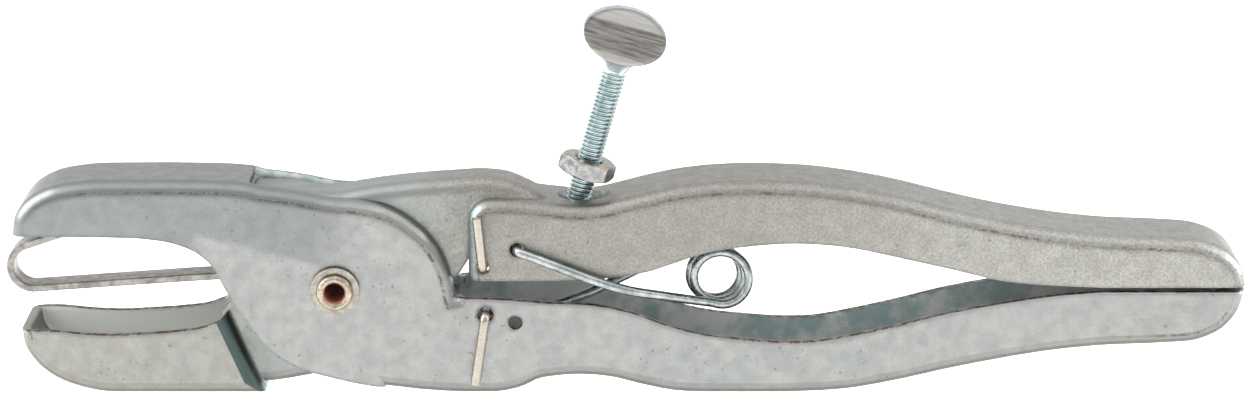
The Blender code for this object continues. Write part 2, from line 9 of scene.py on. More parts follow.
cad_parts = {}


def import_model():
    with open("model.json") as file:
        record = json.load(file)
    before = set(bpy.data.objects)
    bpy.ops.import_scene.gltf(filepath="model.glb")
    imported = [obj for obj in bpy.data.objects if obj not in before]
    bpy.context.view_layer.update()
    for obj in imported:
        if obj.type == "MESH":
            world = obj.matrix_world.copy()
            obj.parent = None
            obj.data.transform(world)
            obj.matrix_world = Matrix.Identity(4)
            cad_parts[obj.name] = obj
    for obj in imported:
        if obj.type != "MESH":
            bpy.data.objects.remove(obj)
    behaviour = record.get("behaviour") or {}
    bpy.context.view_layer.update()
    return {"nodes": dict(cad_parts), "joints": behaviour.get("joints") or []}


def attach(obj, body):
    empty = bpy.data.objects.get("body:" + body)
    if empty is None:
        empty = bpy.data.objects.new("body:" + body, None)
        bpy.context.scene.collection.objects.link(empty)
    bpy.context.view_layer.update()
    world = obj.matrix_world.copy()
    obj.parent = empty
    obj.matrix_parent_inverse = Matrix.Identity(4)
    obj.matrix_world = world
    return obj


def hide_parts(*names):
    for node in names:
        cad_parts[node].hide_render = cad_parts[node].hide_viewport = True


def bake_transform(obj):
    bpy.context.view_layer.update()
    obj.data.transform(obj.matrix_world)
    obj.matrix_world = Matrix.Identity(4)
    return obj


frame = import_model()

MM = 0.001
JOINTS = {joint["name"]: joint for joint in frame["joints"]}
PIVOT = Vector(JOINTS["jaw_pivot"]["pos_m"])
LEAN_AXIS = Vector(JOINTS["terminal_lean"]["pos_m"])
SCREW_LINE = Vector(JOINTS["nut_travel"]["axis"]).normalized()

# The screw and its nut, in millimetres along and across the screw from the lean axis
THREAD_R = 2.3
THREAD_DEPTH = 0.42
THREAD_PITCH = 0.794
SHANK_BOTTOM = -4.5
SHANK_TOP = 28.8
HEAD_CENTRE = 35.5
HEAD_HALF = (7.95, 5.55)
HEAD_HALF_T = 1.2
NUT_FLATS = 9.5
NUT_T = 3.2
NUT_BOTTOM = 8.1
NUT_TURN = math.radians(10)
NUT_BORE_R = 2.55

# The spring's wire, in millimetres from the rivet's axis as (X, Y, Z)
WIRE_R = 0.9
WIRE_STEP = 0.8
HOOK_BEND = 1.2
COIL_CENTRE = (71.1, 0.4)
COIL_R = 4.95
COIL_SKEW = -0.33
COIL_PITCH = 2.05
COIL_START = -112
COIL_END = 824
COIL_STEP = 7.5  # degrees, as the two above
UPPER_HOOK = [(26.4, -9.7, 14.2), (27.4, -9.7, 4.3), (27.4, -5.8, 4.3), (33.7, -5.8, 7.8),
              (33.7, -9.7, 7.8), (37.0, -9.7, 6.6)]
UPPER_LEG = [(37.0, -9.7, 6.6), (42.1, -9.7, 4.6), (47.7, -9.7, 2.4), (53.4, -9.1, 0.4),
             (61.0, -6.2, -1.8), (66.0, -4.1, -3.2)]
LOWER_LEG = [(62.0, 2.2, 3.6), (54.0, 0.3, 0.4), (45.0, -3.0, -3.0), (37.0, -5.5, -4.7),
             (32.5, -5.8, -4.9)]
LOWER_HOOK = [(32.5, -5.8, -4.9), (27.8, -5.8, -4.7), (27.8, -9.7, -4.7), (25.8, -9.7, -17.9)]

SHEET_HALF = 8.5  # half the width across either lever, in millimetres
CAMERA_RISE = math.radians(16)

FLOOR_Z = -0.026  # clear of the lower jaw when it swings down


# ---------------------------------------------------------------- shader graphs

class Graph:
    """Short calls that add shader nodes to a new material."""

    def __init__(self, name, at=None):
        """at is the piece's own frame, for a pattern that follows its tilt."""
        self.material = bpy.data.materials.new(name)
        self.material.use_nodes = True
        self.tree = self.material.node_tree
        self.shader = self.tree.nodes["Principled BSDF"]
        place = self.tree.nodes.new("ShaderNodeTexCoord")
        self.point = place.outputs["Object"]
        self.normal = place.outputs["Normal"]
        if at is not None:
            self.point = self.turned_into(self.point, at.to_translation(), at.to_euler())
            self.normal = self.turned_into(self.normal, (0, 0, 0), at.to_euler())

    def turned_into(self, vector, origin, angles):
        made = self.tree.nodes.new("ShaderNodeMapping")
        made.vector_type = "TEXTURE"
        made.inputs["Location"].default_value = origin
        made.inputs["Rotation"].default_value = angles
        self.tree.links.new(vector, made.inputs["Vector"])
        return made.outputs[0]

    def put(self, socket, value):
        if isinstance(value, bpy.types.NodeSocket):
            self.tree.links.new(value, socket)
        elif hasattr(socket.default_value, "__len__") and len(value) == 3 and socket.type == "RGBA":
            socket.default_value = (*value, 1.0)
        else:
            socket.default_value = value

    def math(self, operation, a, b=0.0):
        made = self.tree.nodes.new("ShaderNodeMath")
        made.operation = operation
        self.put(made.inputs[0], a)
        self.put(made.inputs[1], b)
        return made.outputs[0]

    def both(self, *masks):
        """The product of the masks."""
        found = masks[0]
        for mask in masks[1:]:
            found = self.math("MULTIPLY", found, mask)
        return found

    def either(self, a, b):
        return self.math("MAXIMUM", a, b)

    def step(self, value, low, high, bottom=0.0, top=1.0):
        """Runs smoothly from bottom to top while the value runs from low to high."""
        made = self.tree.nodes.new("ShaderNodeMapRange")
        made.interpolation_type = "SMOOTHSTEP"
        for socket, given in zip(made.inputs, (value, low, high, bottom, top)):
            self.put(socket, given)
        return made.outputs[0]

    def band(self, value, centre, width):
        """1 where the value is at the centre, and 0 a width away."""
        away = self.math("ABSOLUTE", self.math("SUBTRACT", value, centre))
        return self.step(away, 0.0, width, 1.0, 0.0)

    def axes(self, vector):
        split = self.tree.nodes.new("ShaderNodeSeparateXYZ")
        self.tree.links.new(vector, split.inputs[0])
        return split.outputs

    def stretched(self, stretch):
        made = self.tree.nodes.new("ShaderNodeVectorMath")
        made.operation = "MULTIPLY"
        self.tree.links.new(self.point, made.inputs[0])
        made.inputs[1].default_value = stretch
        return made.outputs[0]

    def noise(self, size, detail, rough, stretch=(1, 1, 1)):
        """Noise whose blotches are about this many millimetres across."""
        made = self.tree.nodes.new("ShaderNodeTexNoise")
        self.put(made.inputs["Vector"], self.stretched(stretch))
        self.put(made.inputs["Scale"], 1 / (size * MM))
        self.put(made.inputs["Detail"], detail)
        self.put(made.inputs["Roughness"], rough)
        return made.outputs["Fac"]

    def mix(self, share, a, b):
        made = self.tree.nodes.new("ShaderNodeMix")
        made.data_type = "RGBA"
        self.put(made.inputs[0], share)
        self.put(made.inputs[6], a)
        self.put(made.inputs[7], b)
        return made.outputs[2]

    def recess(self, reach):
        """1 deep in a corner or gap, and 0 in the open."""
        made = self.tree.nodes.new("ShaderNodeAmbientOcclusion")
        made.samples = 8
        made.only_local = True
        made.inputs["Distance"].default_value = reach * MM
        return self.math("SUBTRACT", 1.0, made.outputs["AO"])

    def near_edge(self, reach):
        """1 at a sharp edge, and 0 this many millimetres away from it."""
        round_off = self.tree.nodes.new("ShaderNodeBevel")
        round_off.samples = 4
        round_off.inputs["Radius"].default_value = reach * MM
        own = self.tree.nodes.new("ShaderNodeNewGeometry")
        alike = self.tree.nodes.new("ShaderNodeVectorMath")
        alike.operation = "DOT_PRODUCT"
        self.tree.links.new(round_off.outputs["Normal"], alike.inputs[0])
        self.tree.links.new(own.outputs["Normal"], alike.inputs[1])
        return self.step(alike.outputs["Value"], 0.80, 0.95, 1.0, 0.0)

    def bump(self, height, depth, edge=0.0):
        """Surface relief of this depth in millimetres, on edges that are worn round."""
        made = self.tree.nodes.new("ShaderNodeBump")
        made.inputs["Distance"].default_value = depth * MM
        made.inputs["Strength"].default_value = 1.0
        self.put(made.inputs["Height"], height)
        if edge:
            worn = self.tree.nodes.new("ShaderNodeBevel")
            worn.samples = 4
            worn.inputs["Radius"].default_value = edge * MM
            self.tree.links.new(worn.outputs["Normal"], made.inputs["Normal"])
        self.put(self.shader.inputs["Normal"], made.outputs["Normal"])

    def finish(self, color, roughness, metallic=1.0):
        self.put(self.shader.inputs["Base Color"], color)
        self.put(self.shader.inputs["Roughness"], roughness)
        self.put(self.shader.inputs["Metallic"], metallic)
        return self.material


# ---------------------------------------------------------------- materials

ZINC_TEAL = (0.12, 0.19, 0.19)
RUST = (0.085, 0.052, 0.03)
# Real grime in grains, pits and marks, and also painted shade on downward faces, in corners and along
# the bends
GRIME_AND_PAINTED_SHADE = (0.11, 0.10, 0.085)
TAN = (0.40, 0.31, 0.22)

# The dark and the light of each mottled surface
BRIGHT_SHEET = ((0.24, 0.245, 0.24), (0.285, 0.289, 0.278))
GRAINY_SHEET = ((0.295, 0.291, 0.27), (0.352, 0.35, 0.327))
WASHER_ZINC = ((0.22, 0.205, 0.175), (0.33, 0.31, 0.275))
RIVET_BRASS = ((0.27, 0.215, 0.155), (0.42, 0.375, 0.315))
RIVET_BORE = ((0.20, 0.07, 0.04), (0.34, 0.14, 0.08))
SPRING_WIRE = ((0.20, 0.23, 0.23), (0.40, 0.42, 0.42))
ROLLED_STRIP = ((0.16, 0.15, 0.135), (0.29, 0.28, 0.26))
BLUE_SHANK = ((0.34, 0.42, 0.43), (0.50, 0.57, 0.57))
BRUSHED_HEAD = ((0.095, 0.088, 0.08), (0.20, 0.19, 0.178))
NUT_ZINC = ((0.19, 0.193, 0.19), (0.31, 0.312, 0.306))

# What is laid over them in places
# Pale colours painted inside the levers as painted light, as if their hollows were lit, with teal
# patches among them
INSIDE_PAINTED_LIGHT = (0.72, 0.73, 0.71)
INSIDE_TEAL_PATCH = (0.36, 0.46, 0.46)
LOWER_JAW_PAINTED_LIGHT = (0.80, 0.82, 0.78)
UPPER_JAW_BLUE = (0.12, 0.135, 0.145)
HANDLE_DULL = (0.14, 0.13, 0.11)
NECK_BLUE = (0.15, 0.20, 0.205)
# Painted shade on the wall at the lower jaw's end
WALL_PAINTED_SHADE = (0.01, 0.05, 0.055)
# Painted highlight on the handle's shoulder
SHOULDER_PAINTED_HIGHLIGHT = (0.36, 0.52, 0.54)
LOWER_JAW_DULL = (0.10, 0.105, 0.09)
HOOK_CREAM = (0.38, 0.325, 0.265)
SHANK_GROOVE_SHADE = (0.05, 0.09, 0.09)
HEAD_GROUND = (0.42, 0.42, 0.40)

# Where the looks change over the levers: each pair is the metres along X between which they fade,
# unless it says otherwise
MARKED_BENDS = (0.0095, 0.0115)  # up Z, above which the bends carry dark marks and their painted dark reflection is at full strength
LOWER_JAW_PAINTED_LIGHT_END = (-0.072, -0.066)
LOWER_JAW_END = (-0.070, -0.060)
UPPER_JAW_SLOPE = 0.25  # how steeply its tone's lower limit falls along X
UPPER_JAW_FOOT = (0.0103, 0.0123)  # up Z, where X is 0, along that slope
UPPER_JAW_FRONT = (-0.0810, -0.0775)
UPPER_JAW_END = (-0.060, -0.046)
HANDLE_START = (-0.045, -0.027)
HANDLE_BRIGHTENS = (0.02, 0.075)
NECK_START = (-0.072, -0.070)
NECK_END = (-0.045, -0.025)
NECK_HALF = (0.0055, 0.0057)  # along Y
WALL_START = (-0.078, -0.076)
WALL_END = (-0.068, -0.066)
SHOULDER_START = (-0.0305, -0.0285)
SHOULDER_END = (-0.030, -0.024)


def plated_sheet(name, mottle, roughness, local):
    """Zinc on pressed sheet: mottled, with pits, dark marks along the bends and rust at the cuts;
    painted shade on downward faces, a painted dark reflection along the start of each bend, and hollows
    painted pale as if lit.

    local lays on what differs along this lever, and gives the color and how grainy the surface is.
    """
    g = Graph(name)
    x, y, z = g.axes(g.point)
    _, ny, nz = g.axes(g.normal)
    across = g.math("ABSOLUTE", y)
    facing = g.math("ABSOLUTE", ny)
    inward = g.step(g.math("MULTIPLY", g.math("SIGN", y), ny), -0.8, -0.3, 1.0, 0.0)
    hollow = g.either(inward, g.step(g.recess(12.0), 0.45, 0.75))

    patches = g.noise(14, 3.0, 0.55)
    clouds = g.noise(2.6, 4.0, 0.6)
    grains = g.noise(0.5, 4.0, 0.8)
    dots = g.noise(0.8, 1.0, 0.4)
    chips = g.noise(1.3, 3.0, 0.65)
    dashes = g.noise(0.8, 4.0, 0.75, (0.6, 1, 1))
    stretches = g.noise(16, 1.0, 0.4)

    color = g.mix(g.step(clouds, 0.25, 0.75), *mottle)
    color = g.mix(g.both(g.step(patches, 0.5, 0.75), 0.15), color, ZINC_TEAL)
    color, grainy = local(g, color)
    # Painted shade: faces turned downwards are darkened
    color = g.mix(g.both(g.step(nz, -0.05, -0.6), 0.85), color, GRIME_AND_PAINTED_SHADE)
    color = g.mix(g.both(g.step(grains, 0.58, 0.42), grainy), color, GRIME_AND_PAINTED_SHADE)
    pitted = g.both(g.step(dots, 0.70, 0.77), g.step(patches, 0.42, 0.60))
    color = g.mix(g.both(pitted, 0.55), color, GRIME_AND_PAINTED_SHADE)
    # Painted light: inward faces and recesses turn pale, as if lit, with random teal patches, and are
    # palest inside the lower jaw
    teal_share = g.math("ADD", g.both(patches, 0.6), g.both(clouds, 0.4))
    painted_light_inside = g.mix(g.step(teal_share, 0.42, 0.62), INSIDE_PAINTED_LIGHT, INSIDE_TEAL_PATCH)
    painted_light_inside = g.mix(g.step(x, *LOWER_JAW_PAINTED_LIGHT_END, 1.0, 0.0), painted_light_inside, LOWER_JAW_PAINTED_LIGHT)
    color = g.mix(hollow, color, painted_light_inside)

    # Painted reflection: a thin continuous dark line along the start of each bend; the dashed crease
    # marks are real dirt
    bend_dark_reflection = g.both(g.band(across, (SHEET_HALF - 0.12) * MM, 0.09 * MM), g.step(facing, 0.6, 0.75),
                  g.step(z, *MARKED_BENDS, 0.1, 1.0))
    crease = g.both(g.band(across, (SHEET_HALF - 0.14) * MM, 0.14 * MM), g.step(facing, 0.6, 0.75),
                    g.step(z, *MARKED_BENDS), g.step(dashes, 0.48, 0.54),
                    g.step(stretches, 0.42, 0.54))
    color = g.mix(g.both(bend_dark_reflection, 0.25), color, GRIME_AND_PAINTED_SHADE)
    color = g.mix(crease, color, GRIME_AND_PAINTED_SHADE)

    rim = g.both(g.step(across, (SHEET_HALF - 1.35) * MM, (SHEET_HALF - 1.25) * MM),
                 g.step(facing, 0.1, 0.25, 1.0, 0.0))
    rusted = g.both(rim, g.step(chips, 0.43, 0.52))
    color = g.mix(g.both(rim, 0.35), color, GRIME_AND_PAINTED_SHADE)
    color = g.mix(rusted, color, RUST)
    chipped = g.both(g.near_edge(0.9), g.step(facing, 0.9, 0.97), g.step(chips, 0.50, 0.57),
                     g.step(stretches, 0.40, 0.52))
    color = g.mix(g.both(chipped, 0.85), color, RUST)

    rough = g.step(clouds, 0.3, 0.7, roughness + 0.05, roughness - 0.05)
    rough = g.math("ADD", rough, g.both(g.either(crease, rusted), 0.25))
    height = g.math("ADD", g.both(grains, grainy, 2.4), g.both(clouds, 0.35))
    height = g.math("SUBTRACT", height, g.both(g.either(pitted, g.either(crease, rusted)), 0.4))
    g.bump(height, 0.09, 1.2)
    # The hollows' painted light also makes them nearly non-metallic
    return g.finish(color, rough, g.step(hollow, 0.0, 1.0, 1.0, 0.05))


def outer_local(g, color):
    """The upper jaw, above a line that slopes down along X, is a shade darker and bluer than the disc
    and the handle.
    """
    x, _, z = g.axes(g.point)
    rise = g.math("ADD", z, g.both(x, UPPER_JAW_SLOPE))
    jaw = g.both(g.either(g.step(rise, *UPPER_JAW_FOOT), g.step(x, *UPPER_JAW_FRONT, 1.0, 0.0)),
                 g.step(x, *UPPER_JAW_END, 1.0, 0.0))
    return g.mix(g.both(jaw, 0.48), color, UPPER_JAW_BLUE), 0.12


def inner_local(g, color):
    """Grainy and dull on the handle near the screw, brighter at its end, and blue on the neck; painted
    shade on the +X-facing wall at the lower jaw's end, and a painted highlight on the handle's shoulder.
    """
    x, y, _ = g.axes(g.point)
    nx, _, _ = g.axes(g.normal)
    handle = g.step(x, *HANDLE_START)
    dull = g.both(handle, g.step(x, *HANDLE_BRIGHTENS, 1.0, 0.0))
    neck = g.both(g.step(x, *NECK_END, 1.0, 0.0), g.step(x, *NECK_START),
                  g.step(g.math("ABSOLUTE", y), *NECK_HALF, 1.0, 0.0))
    color = g.mix(g.both(dull, 0.36), color, HANDLE_DULL)
    color = g.mix(g.both(neck, 0.42), color, NECK_BLUE)
    # Painted shade: the wall facing +X at the lower jaw's end is painted nearly black teal
    wall_shade = g.both(g.step(nx, 0.05, 0.2), g.step(x, *WALL_END, 1.0, 0.0), g.step(x, *WALL_START))
    # Painted highlight: the handle's shoulder bend is painted pale teal
    shoulder_highlight = g.both(g.step(nx, -0.2, -0.6), g.step(x, *SHOULDER_END, 1.0, 0.0),
                      g.step(x, *SHOULDER_START))
    color = g.mix(g.both(wall_shade, 0.92), color, WALL_PAINTED_SHADE)
    color = g.mix(g.both(shoulder_highlight, 0.6), color, SHOULDER_PAINTED_HIGHLIGHT)
    color = g.mix(g.step(x, *LOWER_JAW_END, 0.32, 0.0), color, LOWER_JAW_DULL)
    return color, g.step(handle, 0.0, 1.0, 0.12, 0.40)


def washer_zinc():
    """Plated turned or stamped metal with fine marks, and painted shade in its corners."""
    g = Graph("washer_zinc")
    clouds = g.noise(1.6, 4.0, 0.6)
    marks = g.noise(0.35, 2.0, 0.6)
    color = g.mix(g.step(clouds, 0.35, 0.65), *WASHER_ZINC)
    # Painted shade: darker in its corners and gaps
    color = g.mix(g.both(g.step(g.recess(2.0), 0.3, 0.85), 0.35), color, GRIME_AND_PAINTED_SHADE)
    g.bump(g.math("ADD", marks, clouds), 0.02, 0.12)
    return g.finish(color, g.step(marks, 0.3, 0.7, 0.27, 0.40))


def rivet_brass():
    """Thin brassy plating with a rusty bore."""
    g = Graph("rivet_plating")
    x, _, z = g.axes(g.point)
    away = g.math("POWER", g.math("SUBTRACT", x, PIVOT.x), 2.0)
    away = g.math("ADD", away, g.math("POWER", g.math("SUBTRACT", z, PIVOT.z), 2.0))
    away = g.math("SQRT", away)
    bore = g.step(away, 1.95 * MM, 2.25 * MM, 1.0, 0.0)
    clouds = g.noise(0.9, 4.0, 0.65)
    color = g.mix(g.step(clouds, 0.35, 0.65), *RIVET_BRASS)
    rusted = g.mix(g.step(clouds, 0.4, 0.6), *RIVET_BORE)
    color = g.mix(bore, color, rusted)
    g.bump(clouds, 0.04)
    return g.finish(color, g.step(bore, 0.0, 1.0, 0.26, 0.8), g.step(bore, 0.0, 1.0, 1.0, 0.1))


def drawn_wire():
    """Spring wire with drawing marks, and an old cream plating on its hooks."""
    g = Graph("spring_wire_steel")
    clouds = g.noise(2.2, 3.0, 0.6)
    marks = g.noise(0.3, 2.0, 0.6, (0.25, 1, 1))
    x, _, _ = g.axes(g.point)
    hooks = g.step(x, PIVOT.x + 0.028, PIVOT.x + 0.033, 1.0, 0.0)
    color = g.mix(g.step(clouds, 0.30, 0.70), *SPRING_WIRE)
    color = g.mix(g.both(hooks, 0.75), color, HOOK_CREAM)
    color = g.mix(g.both(g.step(marks, 0.62, 0.72), 0.15), color, GRIME_AND_PAINTED_SHADE)
    g.bump(g.math("ADD", marks, clouds), 0.01)
    return g.finish(color, g.step(marks, 0.3, 0.7, 0.22, 0.36))


def strip_metal():
    """The contact strip: rolled, dull, with lines along its length."""
    g = Graph("contact_strip_steel")
    clouds = g.noise(2.4, 4.0, 0.6)
    lines = g.noise(0.5, 3.0, 0.6, (0.12, 1.5, 1))
    color = g.mix(g.step(clouds, 0.36, 0.64), *ROLLED_STRIP)
    color = g.mix(g.both(g.step(lines, 0.56, 0.70), 0.25), color, GRIME_AND_PAINTED_SHADE)
    g.bump(g.math("ADD", lines, clouds), 0.03, 0.15)
    return g.finish(color, g.step(lines, 0.3, 0.7, 0.30, 0.42))


def screw_zinc():
    """Bright blue zinc: the shank glassy with painted shade in its thread grooves, the flat head brushed
    along its long axis.
    """
    g = Graph("screw_blue_zinc", terminal_place())
    _, ny, _ = g.axes(g.normal)
    _, _, z = g.axes(g.point)
    face = g.both(g.step(g.math("ABSOLUTE", ny), 0.75, 0.95),
                  g.step(z, (HEAD_CENTRE - 6.5) * MM, (HEAD_CENTRE - 5.0) * MM))
    clouds = g.noise(1.8, 4.0, 0.6)
    brushed = g.noise(0.55, 4.0, 0.7, (0.07, 1, 1))
    shank = g.mix(g.step(clouds, 0.35, 0.65), *BLUE_SHANK)
    # Painted shade: the thread's grooves are darkened
    shank = g.mix(g.both(g.step(g.recess(0.8), 0.15, 0.55), 0.4), shank, SHANK_GROOVE_SHADE)
    head = g.mix(g.step(brushed, 0.38, 0.64), *BRUSHED_HEAD)
    ground = g.either(g.step(z, (HEAD_CENTRE + 2.0) * MM, (HEAD_CENTRE + 2.5) * MM),
                      g.step(z, (HEAD_CENTRE - 4.4) * MM, (HEAD_CENTRE - 3.0) * MM, 1.0, 0.0))
    head = g.mix(g.both(ground, 0.5), head, HEAD_GROUND)
    color = g.mix(face, shank, head)
    g.bump(g.both(face, brushed), 0.03)
    return g.finish(color, g.step(face, 0.0, 1.0, 0.24, 0.40))


def nut_zinc():
    """Bright zinc with tan wear on the chamfers, and painted shade in its corners."""
    g = Graph("nut_zinc", terminal_place())
    _, _, nz = g.axes(g.normal)
    clouds = g.noise(1.2, 4.0, 0.6)
    chamfer = g.both(g.band(g.math("ABSOLUTE", nz), 0.85, 0.2), g.step(clouds, 0.36, 0.5))
    color = g.mix(g.step(clouds, 0.35, 0.65), *NUT_ZINC)
    color = g.mix(g.both(chamfer, 0.8), color, TAN)
    # Painted shade: darker in its corners and bore
    color = g.mix(g.both(g.step(g.recess(1.5), 0.3, 0.8), 0.4), color, GRIME_AND_PAINTED_SHADE)
    g.bump(clouds, 0.03, 0.12)
    return g.finish(color, g.step(clouds, 0.3, 0.7, 0.2, 0.3))


# ---------------------------------------------------------------- shapes

def solid(name, built, place, smooth_angle):
    """The bmesh as an object that stands at this place, shaded smooth between its sharp edges."""
    bmesh.ops.remove_doubles(built, verts=built.verts, dist=1e-6)
    bmesh.ops.recalc_face_normals(built, faces=built.faces)
    bmesh.ops.transform(built, matrix=place, verts=built.verts)
    mesh = bpy.data.meshes.new(name)
    built.to_mesh(mesh)
    built.free()
    mesh.shade_smooth()
    mesh.set_sharp_from_angle(angle=math.radians(smooth_angle))
    made = bpy.data.objects.new(name, mesh)
    bpy.context.scene.collection.objects.link(made)
    return made


def joined(built, rows):
    """Faces between each closed row of points and the next."""
    made = [[built.verts.new(Vector(p) * MM) for p in row] for row in rows]
    for low, high in zip(made, made[1:]):
        for i in range(len(low)):
            j = (i + 1) % len(low)
            built.faces.new((low[i], low[j], high[j], high[i]))


def terminal_place():
    """The screw's own frame: Z along the screw, Y the lean axis."""
    across = Vector((0, 1, 0)).cross(SCREW_LINE).normalized()
    turn = Matrix((across, Vector((0, 1, 0)), SCREW_LINE)).transposed().to_4x4()
    return Matrix.Translation(LEAN_AXIS) @ turn


def thread(built):
    """The shank with a true helical thread, chamfered at both ends."""
    around = 40
    per_turn = 6
    tip_r = 1.75
    tip_slope = 1.0
    neck_r = 1.88
    neck_slope = 0.7
    form = [0.0, 0.0, 0.5, 1.0, 1.0, 0.5]  # how much of the depth is cut away, round one turn
    turns = math.ceil((SHANK_TOP - SHANK_BOTTOM) / THREAD_PITCH) + 2
    columns = []
    for i in range(around):
        angle = 2 * math.pi * i / around
        column = []
        for k in range(turns * per_turn + 1):
            z = SHANK_BOTTOM + THREAD_PITCH * (k / per_turn + i / around - 1)
            z = min(max(z, SHANK_BOTTOM), SHANK_TOP)
            crest = THREAD_R - THREAD_DEPTH * form[k % per_turn]
            tip = tip_r + (z - SHANK_BOTTOM) * tip_slope
            neck = neck_r + (SHANK_TOP - z) * neck_slope
            r = min(crest, tip, neck)
            column.append(built.verts.new((r * math.cos(angle) * MM, r * math.sin(angle) * MM, z * MM)))
        columns.append(column)
    for i, column in enumerate(columns):
        wraps = i == around - 1
        other = columns[0] if wraps else columns[i + 1]
        lift = per_turn if wraps else 0
        for k in range(len(column) - 1 - lift):
            built.faces.new((column[k], other[k + lift], other[k + 1 + lift], column[k + 1]))
    bmesh.ops.remove_doubles(built, verts=built.verts, dist=1e-6)
    bmesh.ops.dissolve_degenerate(built, edges=built.edges, dist=1e-7)
    bmesh.ops.holes_fill(built, edges=[e for e in built.edges if e.is_boundary], sides=0)


def oval_head(built):
    """A stamped oval disc with rounded edges and slightly hollow faces, and its throat."""
    around = 96
    ring_shares = [0.0, 0.35, 0.65, 0.85, 0.93]
    hollow = 0.12
    edge_start = 0.94
    edge_steps = 6
    rows = []
    for side in (1, -1):
        face = []
        for share in ring_shares:
            dish = hollow * (1 - share ** 2)
            face.append((share, side * (HEAD_HALF_T - dish)))
        rows.append(face if side == 1 else face[::-1])
    round_edge = []
    for i in range(1, edge_steps):
        a = math.pi * (0.5 - i / edge_steps)
        round_edge.append((edge_start + (1 - edge_start) * math.cos(a), HEAD_HALF_T * math.sin(a)))
    outline = rows[0] + round_edge + rows[1]
    points = []
    for share, y in outline:
        row = []
        for i in range(around):
            a = 2 * math.pi * i / around
            row.append((share * HEAD_HALF[0] * math.cos(a), y,
                        HEAD_CENTRE + share * HEAD_HALF[1] * math.sin(a)))
        points.append(row)
    joined(built, points)

    throat_around = 40
    throat_steps = 8
    throat_r = 1.9
    throat_height = 4.2
    throat = []
    for i in range(throat_steps + 1):
        t = i / throat_steps
        ease = t * t * (3 - 2 * t)
        width = throat_r + 1.5 * ease
        depth = throat_r - 1.0 * ease
        z = SHANK_TOP - 1.2 + throat_height * t
        throat.append([(width * math.cos(a), depth * math.sin(a), z)
                       for a in (2 * math.pi * j / throat_around for j in range(throat_around))])
    joined(built, throat)


def thumb_screw():
    built = bmesh.new()
    thread(built)
    oval_head(built)
    return solid("screw_with_thread", built, terminal_place(), 40.0)


def hex_nut():
    """A hexagon with turned chamfers above and below, and a countersunk bore."""
    built = bmesh.new()
    around = 120
    countersink = 0.35
    flat = NUT_FLATS / 2
    half = NUT_T / 2
    turned_r = flat * 0.97
    columns = []
    for i in range(around):
        a = 2 * math.pi * i / around
        reach = flat / math.cos((a % (math.pi / 3)) - math.pi / 6)
        drop = max(reach - turned_r, 0.0) * math.tan(math.radians(30))
        turned_at = min(turned_r, reach)
        profile = [(NUT_BORE_R, half - countersink), (NUT_BORE_R + countersink, half),
                   (turned_at, half), (reach, half - drop)]
        profile += [(r, -z) for r, z in reversed(profile)]
        turn = a + NUT_TURN
        columns.append([(r * math.cos(turn), r * math.sin(turn), NUT_BOTTOM + half + z)
                        for r, z in profile])
    joined(built, columns + columns[:1])
    return solid("nut_with_chamfers", built, terminal_place(), 22.0)


def hermite(a, b, slope_a, slope_b, t):
    """The point a share t of the way from a to b, on a curve with these end slopes."""
    return ((2 * t ** 3 - 3 * t ** 2 + 1) * a + (t ** 3 - 2 * t ** 2 + t) * slope_a
            + (3 * t ** 2 - 2 * t ** 3) * b + (t ** 3 - t ** 2) * slope_b)


def smooth(points):
    """A smooth line through the points."""
    points = [Vector(p) for p in points]
    lengths = [(b - a).length for a, b in zip(points, points[1:])]
    headings = [(b - a) / length for a, b, length in zip(points, points[1:], lengths)]
    slopes = [headings[0]]
    for i in range(1, len(headings)):
        before, after = lengths[i - 1], lengths[i]
        slopes.append((headings[i - 1] * after + headings[i] * before) / (before + after))
    slopes.append(headings[-1])
    line = []
    for i, length in enumerate(lengths):
        steps = max(2, round(length / WIRE_STEP))
        line += [hermite(points[i], points[i + 1], slopes[i] * length, slopes[i + 1] * length,
                         step / steps) for step in range(steps)]
    return line + [points[-1]]


def rounded(points, radius, steps=8):
    """The line through the points, with its corners rounded."""
    points = [Vector(p) for p in points]
    line = [points[0]]
    for before, corner, after in zip(points, points[1:], points[2:]):
        back = (before - corner).normalized()
        ahead = (after - corner).normalized()
        half = back.angle(ahead) / 2
        centre = corner + (back + ahead).normalized() * radius / math.sin(half)
        start = corner + back * radius / math.tan(half) - centre
        turn = (math.pi - 2 * half) / steps
        axis = ahead.cross(back)
        line += [centre + Matrix.Rotation(turn * i, 3, axis) @ start for i in range(steps + 1)]
    return line + [points[-1]]


def wire(name, line):
    """A round wire along the line, as a mesh in the row frame."""
    curve = bpy.data.curves.new(name, "CURVE")
    curve.dimensions = "3D"
    curve.bevel_depth = WIRE_R * MM
    curve.bevel_resolution = 5
    curve.use_fill_caps = True
    spline = curve.splines.new("POLY")
    spline.points.add(len(line) - 1)
    for point, co in zip(spline.points, line):
        point.co = (*(PIVOT + Vector(co) * MM), 1)
    bent = bpy.data.objects.new(name, curve)
    bpy.context.scene.collection.objects.link(bent)
    bpy.context.view_layer.update()
    evaluated = bent.evaluated_get(bpy.context.evaluated_depsgraph_get())
    mesh = bpy.data.meshes.new_from_object(evaluated)
    bpy.data.objects.remove(bent)
    mesh.name = name
    mesh.shade_smooth()
    made = bpy.data.objects.new(name, mesh)
    bpy.context.scene.collection.objects.link(made)
    return made


def coil_line():
    """The coil's turns, which advance along Y and lean a little."""
    turns = math.radians(COIL_END - COIL_START)
    count = round(turns / math.radians(COIL_STEP))
    width = COIL_PITCH * turns / (2 * math.pi)
    line = []
    for i in range(count + 1):
        a = math.radians(COIL_START) + turns * i / count
        y = width * (i / count - 0.5)
        line.append(Vector((COIL_CENTRE[0] + COIL_R * math.cos(a) + COIL_SKEW * y, y,
                            COIL_CENTRE[1] + COIL_R * math.sin(a))))
    return line


